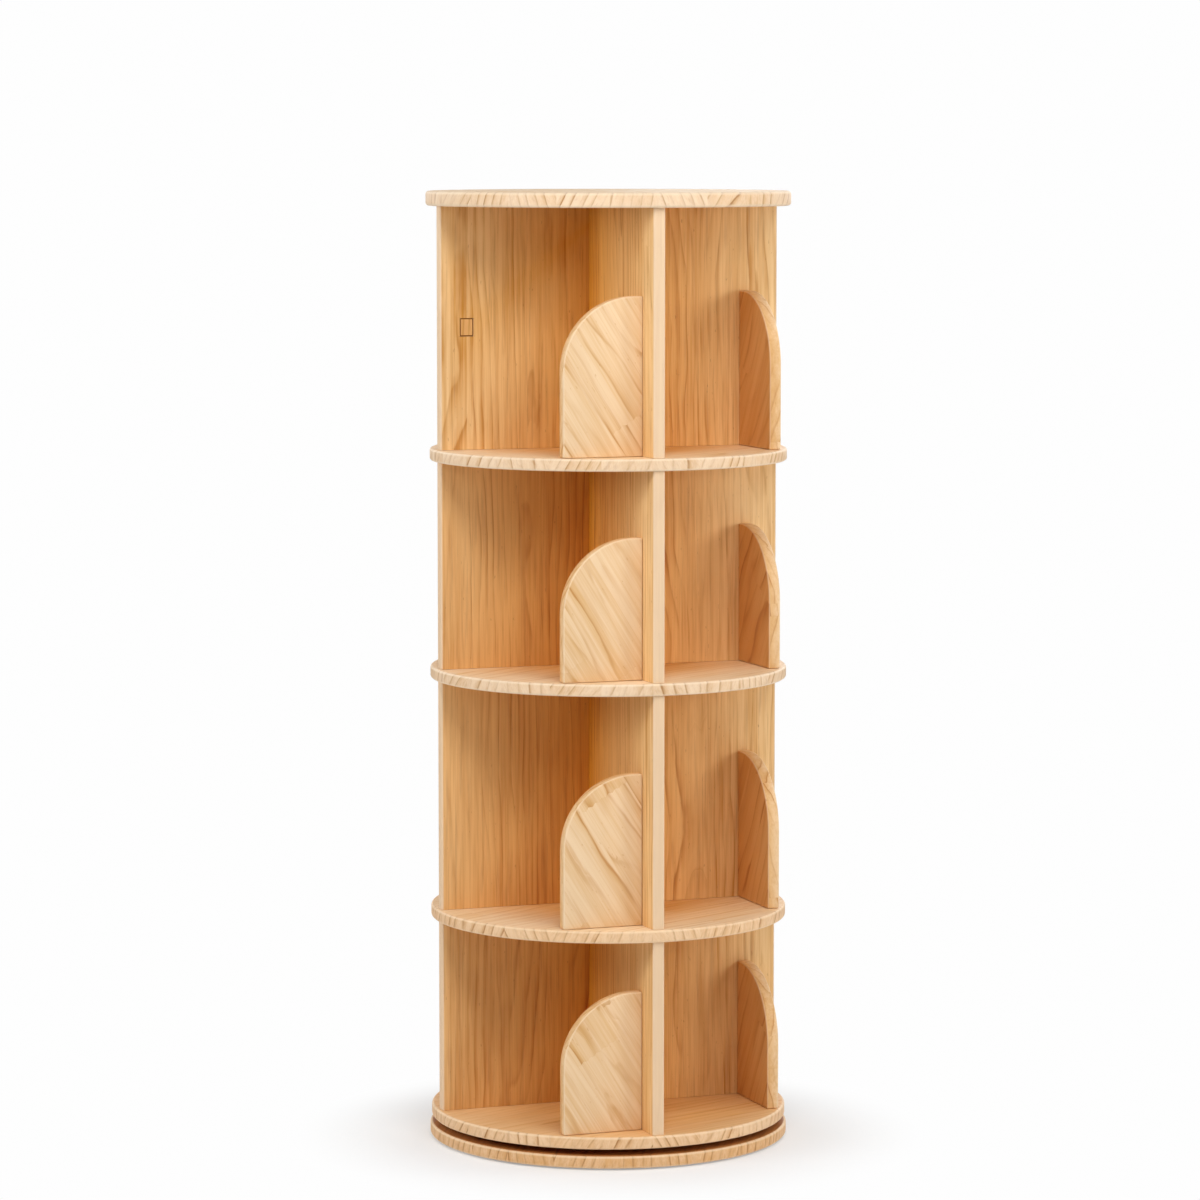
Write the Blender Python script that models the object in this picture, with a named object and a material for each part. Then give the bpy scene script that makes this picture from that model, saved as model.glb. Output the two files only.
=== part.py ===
# Four-tier revolving bookcase in edge-glued pine, on a ball-bearing turntable.
#
# Five round discs are stacked on upright divider boards, four to a tier. In plan the four
# boards make a pinwheel round a narrow square channel: each butts on the face of the next.
# A guard with a quarter-round corner stands square to each divider, set back from the rim.
# The tower turns on two race rings with a caged row of balls between them and the base.
#
# Metres, +Z up. The origin is on the turning axis, at the level of the floor.
# The dividers lie along X and Y, and the front is towards -Y.

import math

import bmesh
import bpy
from mathutils import Matrix, Vector

MM = 0.001

# Fits
SEAT = 0.3 * MM                  # between pieces that touch
DOWEL_PLAY = 0.3 * MM            # round a dowel in its socket, and past its tip

# Discs
SHELF_DIAMETER = 442 * MM
SHELF_THICKNESS = 15 * MM
SHELF_ROUND = 3 * MM             # radius of the rim's edges
TOP_OVERHANG = 4 * MM            # beyond the shelves, all round
TOP_THICKNESS = 18 * MM
TOP_ROUND = 4 * MM
BASE_OVERHANG = 2 * MM
BASE_THICKNESS = 15 * MM
BASE_ROUND = 3 * MM
RIM_SIDES = 60
RIM_STEPS = 2                    # flats in each rounded rim edge

# Clear heights of the tiers
BOTTOM_TIER_HEIGHT = 237 * MM
LOWER_TIER_HEIGHT = 284 * MM
UPPER_TIER_HEIGHT = 255 * MM
TOP_TIER_HEIGHT = 298 * MM

# Divider boards
BOARD_THICKNESS = 15 * MM
BOARD_INSET = 5 * MM             # outer edge inside the shelf's rim
BOARD_ROUND = 2.5 * MM           # outer upright edges
BOARD_ROUND_STEPS = 2
CHANNEL = 15 * MM                # side of the square channel between the four boards
TONGUE_WIDTH = 5 * MM            # on each board's inner end, in a groove of the next board
TONGUE_DEPTH = 5 * MM

# Guards
BOTTOM_GUARD_HEIGHT = 170 * MM
LOWER_GUARD_HEIGHT = 185 * MM
UPPER_GUARD_HEIGHT = 172 * MM
TOP_GUARD_HEIGHT = 192 * MM
GUARD_THICKNESS = 15 * MM
GUARD_SETBACK = 36 * MM          # outer face inside the divider's outer edge
GUARD_INSET = 2.5 * MM           # outer corner inside the shelf's rim
GUARD_FLAT = 11 * MM             # level part of the top edge, beside the divider
GUARD_DROP = 90 * MM             # height of the rounded corner
GUARD_ROUND = 2 * MM
GUARD_ARC_STEPS = 8

# Dowels
END_DOWEL_DIAMETER = 8 * MM
END_DOWEL_WEB = 3 * MM           # wood left in a shelf between dowels from above and below
END_DOWEL_REACH = 125 * MM       # from the turning axis
SIDE_DOWEL_DIAMETER = 6 * MM
SIDE_DOWEL_DEPTH = 8 * MM
GUARD_SIDE_DOWEL_HEIGHT = 110 * MM
GUARD_FOOT_DOWEL_REACH = 62 * MM   # along the guard, from the divider
DOWEL_SIDES = 8
DOWEL_ROOT = 2 * MM              # length that is glued into the dowel's own board

# Patch let into the top tier's left divider
PATCH_WIDTH = 17 * MM
PATCH_HEIGHT = 22 * MM
PATCH_DEPTH = 4 * MM
PATCH_INSET = 34 * MM            # patch centre inside the divider's outer edge
PATCH_LEVEL = 150 * MM           # above the shelf

# Non-slip pads
PAD_COUNT = 6
PAD_DIAMETER = 30 * MM
PAD_THICKNESS = 2 * MM
PAD_INSET = 36 * MM              # pad centre inside the base's rim
PAD_SIDES = 16

# Turntable
TURNTABLE_GAP = 8 * MM           # between the base and the bottom shelf
RACE_DIAMETER = 254 * MM         # circle through the ball centres
RACE_SIDES = 48
RING_WIDTH = 20 * MM
RING_HEIGHT = 6.4 * MM
BALL_DIAMETER = 4 * MM
BALL_COUNT = 16
BALL_SIDES = 8
BALL_RINGS = 4
BALL_CLEARANCE = 0.4 * MM        # between a ball and the grooves
GROOVE_STEPS = 3
RACE_WALL = 1.0 * MM             # from the ball circle to each ring's wall
CAGE_WIDTH = 0.8 * MM
CAGE_HEIGHT = 2.8 * MM

# Screws of the rings
SCREW_COUNT = 4
SCREW_LENGTH = 16 * MM
SCREW_DIAMETER = 3.5 * MM
SCREW_HEAD_DIAMETER = 7 * MM
SCREW_HEAD_HEIGHT = 2 * MM
SCREW_HEAD_RIM = 0.2 * MM
SCREW_POINT = 3 * MM
SCREW_SIDES = 8
SCREW_PLAY = 0.3 * MM
FIXED_SCREW_TURN = math.radians(0)
TURNING_SCREW_TURN = math.radians(45)
ACCESS_HOLE_DIAMETER = 12 * MM
ACCESS_HOLE_SIDES = 16

# Sizes that follow from the ones above, tiers from the lowest up
TIER_NAMES = ("bottom", "lower", "upper", "top")
TIER_HEIGHTS = (BOTTOM_TIER_HEIGHT, LOWER_TIER_HEIGHT, UPPER_TIER_HEIGHT, TOP_TIER_HEIGHT)
GUARD_HEIGHTS = (BOTTOM_GUARD_HEIGHT, LOWER_GUARD_HEIGHT, UPPER_GUARD_HEIGHT, TOP_GUARD_HEIGHT)
BASE_BOTTOM = PAD_THICKNESS + SEAT
BASE_TOP = BASE_BOTTOM + BASE_THICKNESS
TOWER_BOTTOM = BASE_TOP + TURNTABLE_GAP
BALL_LEVEL = BASE_TOP + TURNTABLE_GAP / 2
FIXED_RING_BOTTOM = BASE_TOP + SEAT
TURNING_RING_TOP = TOWER_BOTTOM - SEAT
SHELF_RADIUS = SHELF_DIAMETER / 2
BOARD_REACH = SHELF_RADIUS - BOARD_INSET
BOARD_NEAR_FACE = CHANNEL / 2
BOARD_FAR_FACE = CHANNEL / 2 + BOARD_THICKNESS
BOARD_MIDDLE = CHANNEL / 2 + BOARD_THICKNESS / 2
PATCH_REACH = BOARD_REACH - PATCH_INSET
GUARD_FACE = BOARD_REACH - GUARD_SETBACK
GUARD_MIDDLE = GUARD_FACE - GUARD_THICKNESS / 2
GUARD_WIDTH = math.sqrt((SHELF_RADIUS - GUARD_INSET) ** 2 - GUARD_FACE ** 2) - BOARD_FAR_FACE - SEAT
END_DOWEL_DEPTH = (SHELF_THICKNESS - END_DOWEL_WEB) / 2 - DOWEL_PLAY
QUARTERS = (("front", 0), ("right", 1), ("back", 2), ("left", 3))


def shelf_levels():
    """Undersides of the bottom shelf, the three shelves above it and the top disc."""
    levels = [TOWER_BOTTOM]
    for height in TIER_HEIGHTS:
        levels.append(levels[-1] + SHELF_THICKNESS + height)
    return levels


def clear_scene():
    for obj in list(bpy.data.objects):
        bpy.data.objects.remove(obj, do_unlink=True)


def make_material(name, colour, roughness, metallic=0.0):
    material = bpy.data.materials.new(name)
    material.use_nodes = True
    shader = material.node_tree.nodes["Principled BSDF"]
    shader.inputs["Base Color"].default_value = (*colour, 1.0)
    shader.inputs["Roughness"].default_value = roughness
    shader.inputs["Metallic"].default_value = metallic
    return material


def place(name, mesh, material=None, turn=0.0, parent=None):
    """A new object for a mesh, turned about the tower's axis."""
    obj = bpy.data.objects.new(name, mesh)
    bpy.context.scene.collection.objects.link(obj)
    obj.rotation_euler.z = turn
    obj.parent = parent
    if material and not mesh.materials:
        mesh.materials.append(material)
    return obj


def to_mesh(shape, name, smooth=False):
    """The bmesh as a mesh with its faces pointing out."""
    bmesh.ops.recalc_face_normals(shape, faces=shape.faces)
    mesh = bpy.data.meshes.new(name)
    shape.to_mesh(mesh)
    shape.free()
    if smooth:
        mesh.shade_smooth()
        mesh.set_sharp_from_angle(angle=math.radians(30))
    return mesh


def add_drum(shape, radius, start, end, sides):
    """A capped cylinder from one point to another."""
    start = Vector(start)
    end = Vector(end)
    run = end - start
    turn = Vector((0, 0, 1)).rotation_difference(run).to_matrix().to_4x4()
    middle = Matrix.Translation((start + end) / 2)
    bmesh.ops.create_cone(shape, cap_ends=True, segments=sides, radius1=radius, radius2=radius,
                          depth=run.length, matrix=middle @ turn)


def add_block(shape, low, high):
    """An upright box between two corners."""
    low = Vector(low)
    high = Vector(high)
    size = Matrix.Diagonal((*(high - low), 1.0))
    bmesh.ops.create_cube(shape, size=1.0, matrix=Matrix.Translation((low + high) / 2) @ size)


def add_turned(shape, profile, sides):
    """A closed ring or disc turned from (radius, level) points; the outline closes on itself."""
    loops = []
    for side in range(sides):
        angle = 2 * math.pi * side / sides
        loops.append([shape.verts.new((r * math.cos(angle), r * math.sin(angle), z)) for r, z in profile])
    count = len(profile)
    for side in range(sides):
        here = loops[side]
        there = loops[(side + 1) % sides]
        for i in range(count):
            j = (i + 1) % count
            shape.faces.new((here[i], there[i], there[j], here[j]))


def helper(name, shape):
    """A shape that cuts or adds to a piece and isn't a piece itself."""
    obj = place(name, to_mesh(shape, name))
    obj.hide_render = True
    obj.display_type = "WIRE"
    return obj


def combine(obj, operation, other):
    modifier = obj.modifiers.new(operation.title(), "BOOLEAN")
    modifier.operation = operation
    modifier.solver = "EXACT"
    modifier.object = other


def finished_mesh(obj, name):
    """The object's mesh with its modifiers carried out; the object and its helpers go."""
    bpy.context.view_layer.update()
    evaluated = obj.evaluated_get(bpy.context.evaluated_depsgraph_get())
    mesh = bpy.data.meshes.new_from_object(evaluated)
    mesh.name = name
    for modifier in list(obj.modifiers):
        if modifier.type == "BOOLEAN":
            bpy.data.objects.remove(modifier.object, do_unlink=True)
    bpy.data.objects.remove(obj, do_unlink=True)
    return mesh


def quarter_turned(point, quarter):
    """A point of the front quarter, carried round to another quarter."""
    return Matrix.Rotation(math.pi / 2 * quarter, 3, "Z") @ Vector(point)


# Dowels and their sockets

def end_dowel_spot():
    """Plan position of a front divider's end dowels."""
    return (-BOARD_MIDDLE, -END_DOWEL_REACH)


def guard_dowel_spot():
    """Plan position of a front guard's foot dowel."""
    return (-BOARD_FAR_FACE - GUARD_FOOT_DOWEL_REACH, -GUARD_MIDDLE)


def add_disc_sockets(shape, level, going, guards):
    """Sockets in a disc's face at a level, for all four quarters; going is +1 up, -1 down."""
    for name, quarter in QUARTERS:
        spots = [(end_dowel_spot(), END_DOWEL_DIAMETER)]
        if guards:
            spots.append((guard_dowel_spot(), SIDE_DOWEL_DIAMETER))
        for (x, y), diameter in spots:
            mouth = quarter_turned((x, y, level - going * SEAT), quarter)
            bottom = quarter_turned((x, y, level + going * (END_DOWEL_DEPTH + DOWEL_PLAY)), quarter)
            add_drum(shape, diameter / 2 + DOWEL_PLAY, mouth, bottom, DOWEL_SIDES)


# Discs

def rim_disc(name, radius, bottom, thickness, rounding, material, parent):
    shape = bmesh.new()
    add_drum(shape, radius, (0, 0, bottom), (0, 0, bottom + thickness), RIM_SIDES)
    disc = place(name, to_mesh(shape, name, smooth=True), material, parent=parent)
    bevel = disc.modifiers.new("Rounded rim", "BEVEL")
    bevel.width = min(rounding, thickness / 2.2)
    bevel.segments = RIM_STEPS
    bevel.limit_method = "ANGLE"
    bevel.angle_limit = math.radians(30)
    return disc


def make_shelves(material, tower):
    levels = shelf_levels()
    names = ("bottom_shelf", "lower_shelf", "middle_shelf", "upper_shelf")
    for index, name in enumerate(names):
        shelf = rim_disc(name, SHELF_RADIUS, levels[index], SHELF_THICKNESS, SHELF_ROUND, material, tower)
        sockets = bmesh.new()
        add_disc_sockets(sockets, levels[index] + SHELF_THICKNESS, -1, guards=True)
        if index > 0:
            add_disc_sockets(sockets, levels[index], +1, guards=False)
        else:
            add_screw_pilots(sockets, turning_screw_places(), +1)
        combine(shelf, "DIFFERENCE", helper(name + "_sockets", sockets))


def make_top(material, tower):
    level = shelf_levels()[-1]
    radius = SHELF_RADIUS + TOP_OVERHANG
    top = rim_disc("top_disc", radius, level, TOP_THICKNESS, TOP_ROUND, material, tower)
    sockets = bmesh.new()
    add_disc_sockets(sockets, level, +1, guards=False)
    combine(top, "DIFFERENCE", helper("top_disc_sockets", sockets))


def make_base(material):
    radius = SHELF_RADIUS + BASE_OVERHANG
    base = rim_disc("base_disc", radius, BASE_BOTTOM, BASE_THICKNESS, BASE_ROUND, material, None)
    holes = bmesh.new()
    add_screw_pilots(holes, fixed_screw_places(), -1)
    x, y = turning_screw_places()[0][0]
    add_drum(holes, ACCESS_HOLE_DIAMETER / 2, (x, y, BASE_BOTTOM - SEAT), (x, y, BASE_TOP + SEAT),
             ACCESS_HOLE_SIDES)
    combine(base, "DIFFERENCE", helper("base_disc_holes", holes))


# Divider boards

def board_outline():
    """Plan of the front divider: rounded outer edge, a tongue on its inner end and a groove."""
    near = -BOARD_NEAR_FACE
    far = -BOARD_FAR_FACE
    rounding = min(BOARD_ROUND, BOARD_THICKNESS / 2.2)
    points = []
    for centre_x, start in ((far + rounding, math.pi), (near - rounding, 1.5 * math.pi)):
        for step in range(BOARD_ROUND_STEPS + 1):
            angle = start + math.pi / 2 * step / BOARD_ROUND_STEPS
            points.append((centre_x + rounding * math.cos(angle),
                           -BOARD_REACH + rounding + rounding * math.sin(angle)))
    groove = TONGUE_WIDTH / 2 + SEAT
    groove_bottom = near - TONGUE_DEPTH - SEAT
    points += [(near, -BOARD_MIDDLE - groove), (groove_bottom, -BOARD_MIDDLE - groove)]
    points += [(groove_bottom, -BOARD_MIDDLE + groove), (near, -BOARD_MIDDLE + groove)]
    shoulder = BOARD_NEAR_FACE - SEAT
    tip = BOARD_NEAR_FACE + TONGUE_DEPTH
    right = -BOARD_MIDDLE + TONGUE_WIDTH / 2
    left = -BOARD_MIDDLE - TONGUE_WIDTH / 2
    points += [(near, shoulder), (right, shoulder), (right, tip)]
    points += [(left, tip), (left, shoulder), (far, shoulder)]
    return points


def extruded(shape, corners, run):
    """A closed solid: the flat outline through the corners, carried along the run."""
    face = shape.faces.new([shape.verts.new(corner) for corner in corners])
    grown = bmesh.ops.extrude_face_region(shape, geom=[face])
    moved = [item for item in grown["geom"] if isinstance(item, bmesh.types.BMVert)]
    bmesh.ops.translate(shape, verts=moved, vec=run)


def divider_mesh(tier, patched):
    """The front divider of a tier, standing on its shelf, with its dowels and sockets."""
    height = TIER_HEIGHTS[tier] - 2 * SEAT
    shape = bmesh.new()
    extruded(shape, [(x, y, 0) for x, y in board_outline()], (0, 0, height))
    board = place("divider_blank", to_mesh(shape, "divider_blank"))

    x, y = end_dowel_spot()
    dowels = bmesh.new()
    add_drum(dowels, END_DOWEL_DIAMETER / 2, (x, y, DOWEL_ROOT), (x, y, -SEAT - END_DOWEL_DEPTH),
             DOWEL_SIDES)
    add_drum(dowels, END_DOWEL_DIAMETER / 2, (x, y, height - DOWEL_ROOT),
             (x, y, height + SEAT + END_DOWEL_DEPTH), DOWEL_SIDES)
    combine(board, "UNION", helper("divider_dowels", dowels))

    sockets = bmesh.new()
    mouth = Vector((-BOARD_FAR_FACE - SEAT, -GUARD_MIDDLE, GUARD_SIDE_DOWEL_HEIGHT))
    depth = Vector((SIDE_DOWEL_DEPTH + DOWEL_PLAY + SEAT, 0, 0))
    add_drum(sockets, SIDE_DOWEL_DIAMETER / 2 + DOWEL_PLAY, mouth, mouth + depth, DOWEL_SIDES)
    if patched:
        low, high = patch_corners()
        play = Vector((SEAT, SEAT, SEAT))
        add_block(sockets, low - play, high + play)
    combine(board, "DIFFERENCE", helper("divider_sockets", sockets))
    return finished_mesh(board, "divider_" + TIER_NAMES[tier])


def patch_corners():
    """Low and high corner of the patch, on the near face of the front divider."""
    low = Vector((-BOARD_NEAR_FACE - PATCH_DEPTH, -PATCH_REACH - PATCH_WIDTH / 2,
                  PATCH_LEVEL - PATCH_HEIGHT / 2))
    high = Vector((-BOARD_NEAR_FACE, -PATCH_REACH + PATCH_WIDTH / 2, PATCH_LEVEL + PATCH_HEIGHT / 2))
    return low, high


def make_dividers(material, tower):
    levels = shelf_levels()
    for tier, tier_name in enumerate(TIER_NAMES):
        plain = divider_mesh(tier, patched=False)
        for side, quarter in QUARTERS:
            patched = tier_name == "top" and side == "left"
            mesh = divider_mesh(tier, patched=True) if patched else plain
            board = place("divider_" + tier_name + "_" + side, mesh, material, math.pi / 2 * quarter, tower)
            board.location.z = levels[tier] + SHELF_THICKNESS + SEAT


def make_patch(material, tower):
    low, high = patch_corners()
    shape = bmesh.new()
    add_block(shape, low, high)
    patch = place("divider_patch", to_mesh(shape, "divider_patch"), material, math.pi / 2 * 3, tower)
    patch.location.z = shelf_levels()[3] + SHELF_THICKNESS + SEAT


# Guards

def guard_outline(height):
    """Width and height points of a guard, from its foot beside the divider, the long way round."""
    reach = GUARD_WIDTH - GUARD_FLAT
    drop = min(GUARD_DROP, height - GUARD_ROUND * 2)
    points = [(0, 0), (0, height)]
    for step in range(GUARD_ARC_STEPS + 1):
        angle = math.pi / 2 * step / GUARD_ARC_STEPS
        points.append((GUARD_FLAT + reach * math.sin(angle), height - drop + drop * math.cos(angle)))
    points.append((GUARD_WIDTH, 0))
    return points


def guard_mesh(tier):
    """The front guard of a tier, standing on its shelf, with its dowels."""
    height = GUARD_HEIGHTS[tier]
    inner = -BOARD_FAR_FACE - SEAT
    shape = bmesh.new()
    corners = [(inner - across, -GUARD_FACE, up) for across, up in guard_outline(height)]
    extruded(shape, corners, (0, GUARD_THICKNESS, 0))
    guard = place("guard_blank", to_mesh(shape, "guard_blank", smooth=True))
    bevel = guard.modifiers.new("Eased edges", "BEVEL")
    bevel.width = min(GUARD_ROUND, GUARD_THICKNESS / 2.2)
    bevel.segments = 1
    bevel.limit_method = "ANGLE"
    bevel.angle_limit = math.radians(30)

    dowels = bmesh.new()
    x, y = guard_dowel_spot()
    add_drum(dowels, SIDE_DOWEL_DIAMETER / 2, (x, y, DOWEL_ROOT), (x, y, -SEAT - END_DOWEL_DEPTH),
             DOWEL_SIDES)
    add_drum(dowels, SIDE_DOWEL_DIAMETER / 2, (inner - DOWEL_ROOT, y, GUARD_SIDE_DOWEL_HEIGHT),
             (-BOARD_FAR_FACE + SIDE_DOWEL_DEPTH, y, GUARD_SIDE_DOWEL_HEIGHT), DOWEL_SIDES)
    combine(guard, "UNION", helper("guard_dowels", dowels))
    return finished_mesh(guard, "guard_" + TIER_NAMES[tier])


def make_guards(material, tower):
    levels = shelf_levels()
    for tier, tier_name in enumerate(TIER_NAMES):
        mesh = guard_mesh(tier)
        for side, quarter in QUARTERS:
            guard = place("guard_" + tier_name + "_" + side, mesh, material, math.pi / 2 * quarter, tower)
            guard.location.z = levels[tier] + SHELF_THICKNESS + SEAT


# Turntable

def race_profile(side):
    """Outline of a race ring: side is +1 for the ring outside the balls, -1 for the one inside."""
    ball_circle = RACE_DIAMETER / 2
    wall = ball_circle + side * RACE_WALL
    rim = wall + side * RING_WIDTH
    low = FIXED_RING_BOTTOM if side > 0 else TURNING_RING_TOP - RING_HEIGHT
    high = low + RING_HEIGHT
    groove = BALL_DIAMETER / 2 + BALL_CLEARANCE
    swing = math.acos(RACE_WALL / groove)
    points = [(wall, low)]
    for step in range(GROOVE_STEPS + 1):
        angle = -swing + 2 * swing * step / GROOVE_STEPS
        points.append((ball_circle + side * groove * math.cos(angle), BALL_LEVEL + groove * math.sin(angle)))
    points += [(wall, high), (rim, high), (rim, low)]
    return points


def screw_places(circle, turn, head_level, going):
    """Plan spot, head level and direction of each of a ring's screws."""
    places = []
    for index in range(SCREW_COUNT):
        angle = turn + 2 * math.pi * index / SCREW_COUNT
        places.append(((circle * math.cos(angle), circle * math.sin(angle)), head_level, going))
    return places


def fixed_screw_places():
    circle = RACE_DIAMETER / 2 + RACE_WALL + RING_WIDTH / 2
    return screw_places(circle, FIXED_SCREW_TURN, FIXED_RING_BOTTOM + RING_HEIGHT, -1)


def turning_screw_places():
    circle = RACE_DIAMETER / 2 - RACE_WALL - RING_WIDTH / 2
    return screw_places(circle, TURNING_SCREW_TURN, TURNING_RING_TOP - RING_HEIGHT, +1)


def add_screw_pilots(shape, places, going):
    """Pilot holes in the wood for a ring's screws."""
    for (x, y), head_level, _ in places:
        start = BASE_TOP + SEAT if going < 0 else TOWER_BOTTOM - SEAT
        end = head_level + going * (SCREW_LENGTH + SCREW_PLAY)
        add_drum(shape, SCREW_DIAMETER / 2 + SCREW_PLAY, (x, y, start), (x, y, end), SCREW_SIDES)


def add_screw(shape, place_of_screw, play):
    """A countersunk screw turned about its own axis; play fattens it for its hole in the ring."""
    (x, y), head_level, going = place_of_screw
    radius = SCREW_DIAMETER / 2 + play
    head = SCREW_HEAD_DIAMETER / 2 + play
    stations = [(0.0, head - SCREW_PLAY), (SCREW_HEAD_RIM, head), (SCREW_HEAD_HEIGHT, radius)]
    stations += [(SCREW_LENGTH - SCREW_POINT, radius), (SCREW_LENGTH, radius / 3)]
    if play:
        stations = [(-SCREW_PLAY, head), (SCREW_HEAD_RIM, head), (SCREW_HEAD_HEIGHT, radius)]
        stations += [(RING_HEIGHT + SCREW_PLAY, radius)]
    loops = []
    for depth, size in stations:
        loop = []
        for side in range(SCREW_SIDES):
            angle = 2 * math.pi * side / SCREW_SIDES
            loop.append(shape.verts.new((x + size * math.cos(angle), y + size * math.sin(angle),
                                         head_level + going * depth)))
        loops.append(loop)
    for near, far in zip(loops, loops[1:]):
        for side in range(SCREW_SIDES):
            following = (side + 1) % SCREW_SIDES
            shape.faces.new((near[side], near[following], far[following], far[side]))
    shape.faces.new(loops[0])
    shape.faces.new(loops[-1])


def make_ring(name, side, places, material, parent):
    shape = bmesh.new()
    add_turned(shape, race_profile(side), RACE_SIDES)
    ring = place(name, to_mesh(shape, name, smooth=True), material, parent=parent)
    holes = bmesh.new()
    for spot in places:
        add_screw(holes, spot, SCREW_PLAY)
    combine(ring, "DIFFERENCE", helper(name + "_holes", holes))


def make_screws(name, places, material, parent):
    for index, spot in enumerate(places):
        shape = bmesh.new()
        add_screw(shape, spot, 0.0)
        screw_name = name + "_" + str(index + 1)
        place(screw_name, to_mesh(shape, screw_name, smooth=True), material, parent=parent)


def make_cage(material, parent):
    """The cage band with its balls in it, made as one piece."""
    ball_circle = RACE_DIAMETER / 2
    low = BALL_LEVEL - CAGE_HEIGHT / 2
    high = BALL_LEVEL + CAGE_HEIGHT / 2
    shape = bmesh.new()
    inside = ball_circle - CAGE_WIDTH / 2
    outside = ball_circle + CAGE_WIDTH / 2
    add_turned(shape, [(inside, low), (inside, high), (outside, high), (outside, low)], RACE_SIDES)
    cage = place("ball_cage", to_mesh(shape, "ball_cage"), material, parent=parent)
    balls = bmesh.new()
    for index in range(BALL_COUNT):
        angle = 2 * math.pi * index / BALL_COUNT
        spot = Matrix.Translation((ball_circle * math.cos(angle), ball_circle * math.sin(angle), BALL_LEVEL))
        bmesh.ops.create_uvsphere(balls, u_segments=BALL_SIDES, v_segments=BALL_RINGS,
                                  radius=BALL_DIAMETER / 2, matrix=spot @ Matrix.Rotation(angle, 4, "Z"))
    combine(cage, "UNION", helper("ball_row", balls))


# Non-slip pads

def make_pads(material):
    circle = SHELF_RADIUS + BASE_OVERHANG - PAD_INSET
    for index in range(PAD_COUNT):
        angle = math.pi / 6 + 2 * math.pi * index / PAD_COUNT
        shape = bmesh.new()
        x = circle * math.cos(angle)
        y = circle * math.sin(angle)
        add_drum(shape, PAD_DIAMETER / 2, (x, y, 0), (x, y, PAD_THICKNESS), PAD_SIDES)
        name = "foot_pad_" + str(index + 1)
        place(name, to_mesh(shape, name, smooth=True), material)


clear_scene()
disc_pine = make_material("disc_pine", (0.86, 0.66, 0.42), 0.5)
divider_pine = make_material("divider_pine", (0.78, 0.53, 0.29), 0.5)
guard_pine = make_material("guard_pine", (0.88, 0.66, 0.42), 0.5)
patch_pine = make_material("patch_pine", (0.72, 0.46, 0.22), 0.5)
pad_rubber = make_material("pad_rubber", (0.05, 0.05, 0.05), 0.8)
ring_aluminium = make_material("ring_aluminium", (0.75, 0.75, 0.77), 0.35, 1.0)
ball_steel = make_material("ball_steel", (0.62, 0.62, 0.64), 0.2, 1.0)
screw_steel = make_material("screw_steel", (0.55, 0.55, 0.53), 0.35, 1.0)

tower_axis = bpy.data.objects.new("tower_axis", None)
cage_axis = bpy.data.objects.new("cage_axis", None)
for axis in (tower_axis, cage_axis):
    bpy.context.scene.collection.objects.link(axis)

make_pads(pad_rubber)
make_base(disc_pine)
make_ring("fixed_race_ring", +1, fixed_screw_places(), ring_aluminium, None)
make_ring("turning_race_ring", -1, turning_screw_places(), ring_aluminium, tower_axis)
make_cage(ball_steel, cage_axis)
make_screws("fixed_ring_screw", fixed_screw_places(), screw_steel, None)
make_screws("turning_ring_screw", turning_screw_places(), screw_steel, tower_axis)
make_shelves(disc_pine, tower_axis)
make_top(disc_pine, tower_axis)
make_dividers(divider_pine, tower_axis)
make_guards(guard_pine, tower_axis)
make_patch(patch_pine, tower_axis)
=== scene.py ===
# A four-tier revolving bookcase in edge-glued pine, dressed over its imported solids.

import math

import bmesh
import bpy
from mathutils import Matrix, Vector


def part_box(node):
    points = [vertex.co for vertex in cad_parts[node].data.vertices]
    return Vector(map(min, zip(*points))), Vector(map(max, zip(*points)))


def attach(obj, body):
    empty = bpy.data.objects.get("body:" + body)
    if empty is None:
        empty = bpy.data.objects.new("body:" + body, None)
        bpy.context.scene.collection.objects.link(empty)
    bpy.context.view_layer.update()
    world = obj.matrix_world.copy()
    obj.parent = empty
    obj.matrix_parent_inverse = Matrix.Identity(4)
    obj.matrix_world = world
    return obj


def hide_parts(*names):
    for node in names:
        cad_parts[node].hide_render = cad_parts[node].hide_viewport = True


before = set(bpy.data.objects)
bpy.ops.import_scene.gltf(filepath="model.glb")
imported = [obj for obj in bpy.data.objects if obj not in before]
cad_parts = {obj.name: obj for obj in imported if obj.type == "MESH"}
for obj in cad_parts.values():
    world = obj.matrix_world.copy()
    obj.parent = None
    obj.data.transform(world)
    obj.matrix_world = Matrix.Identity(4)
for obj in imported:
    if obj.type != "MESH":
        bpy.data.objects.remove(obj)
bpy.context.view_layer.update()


# Pads
# Six non-slip pads stick to the underside of the base, near its rim. Each is stamped
# from 2 mm sheet rubber, so its edge is slightly rounded and its face is dusty.

# Edges that turn by more than this many degrees stay crisp
SHARP = 35


def shaped(name, shape, sharp=SHARP):
    """The finished piece of a bmesh, in the scene, shaded smooth up to the sharp angle."""
    bmesh.ops.recalc_face_normals(shape, faces=shape.faces)
    mesh = bpy.data.meshes.new(name)
    shape.to_mesh(mesh)
    shape.free()
    mesh.shade_smooth()
    mesh.set_sharp_from_angle(angle=math.radians(sharp))
    piece = bpy.data.objects.new(name, mesh)
    bpy.context.scene.collection.objects.link(piece)
    return piece


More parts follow.
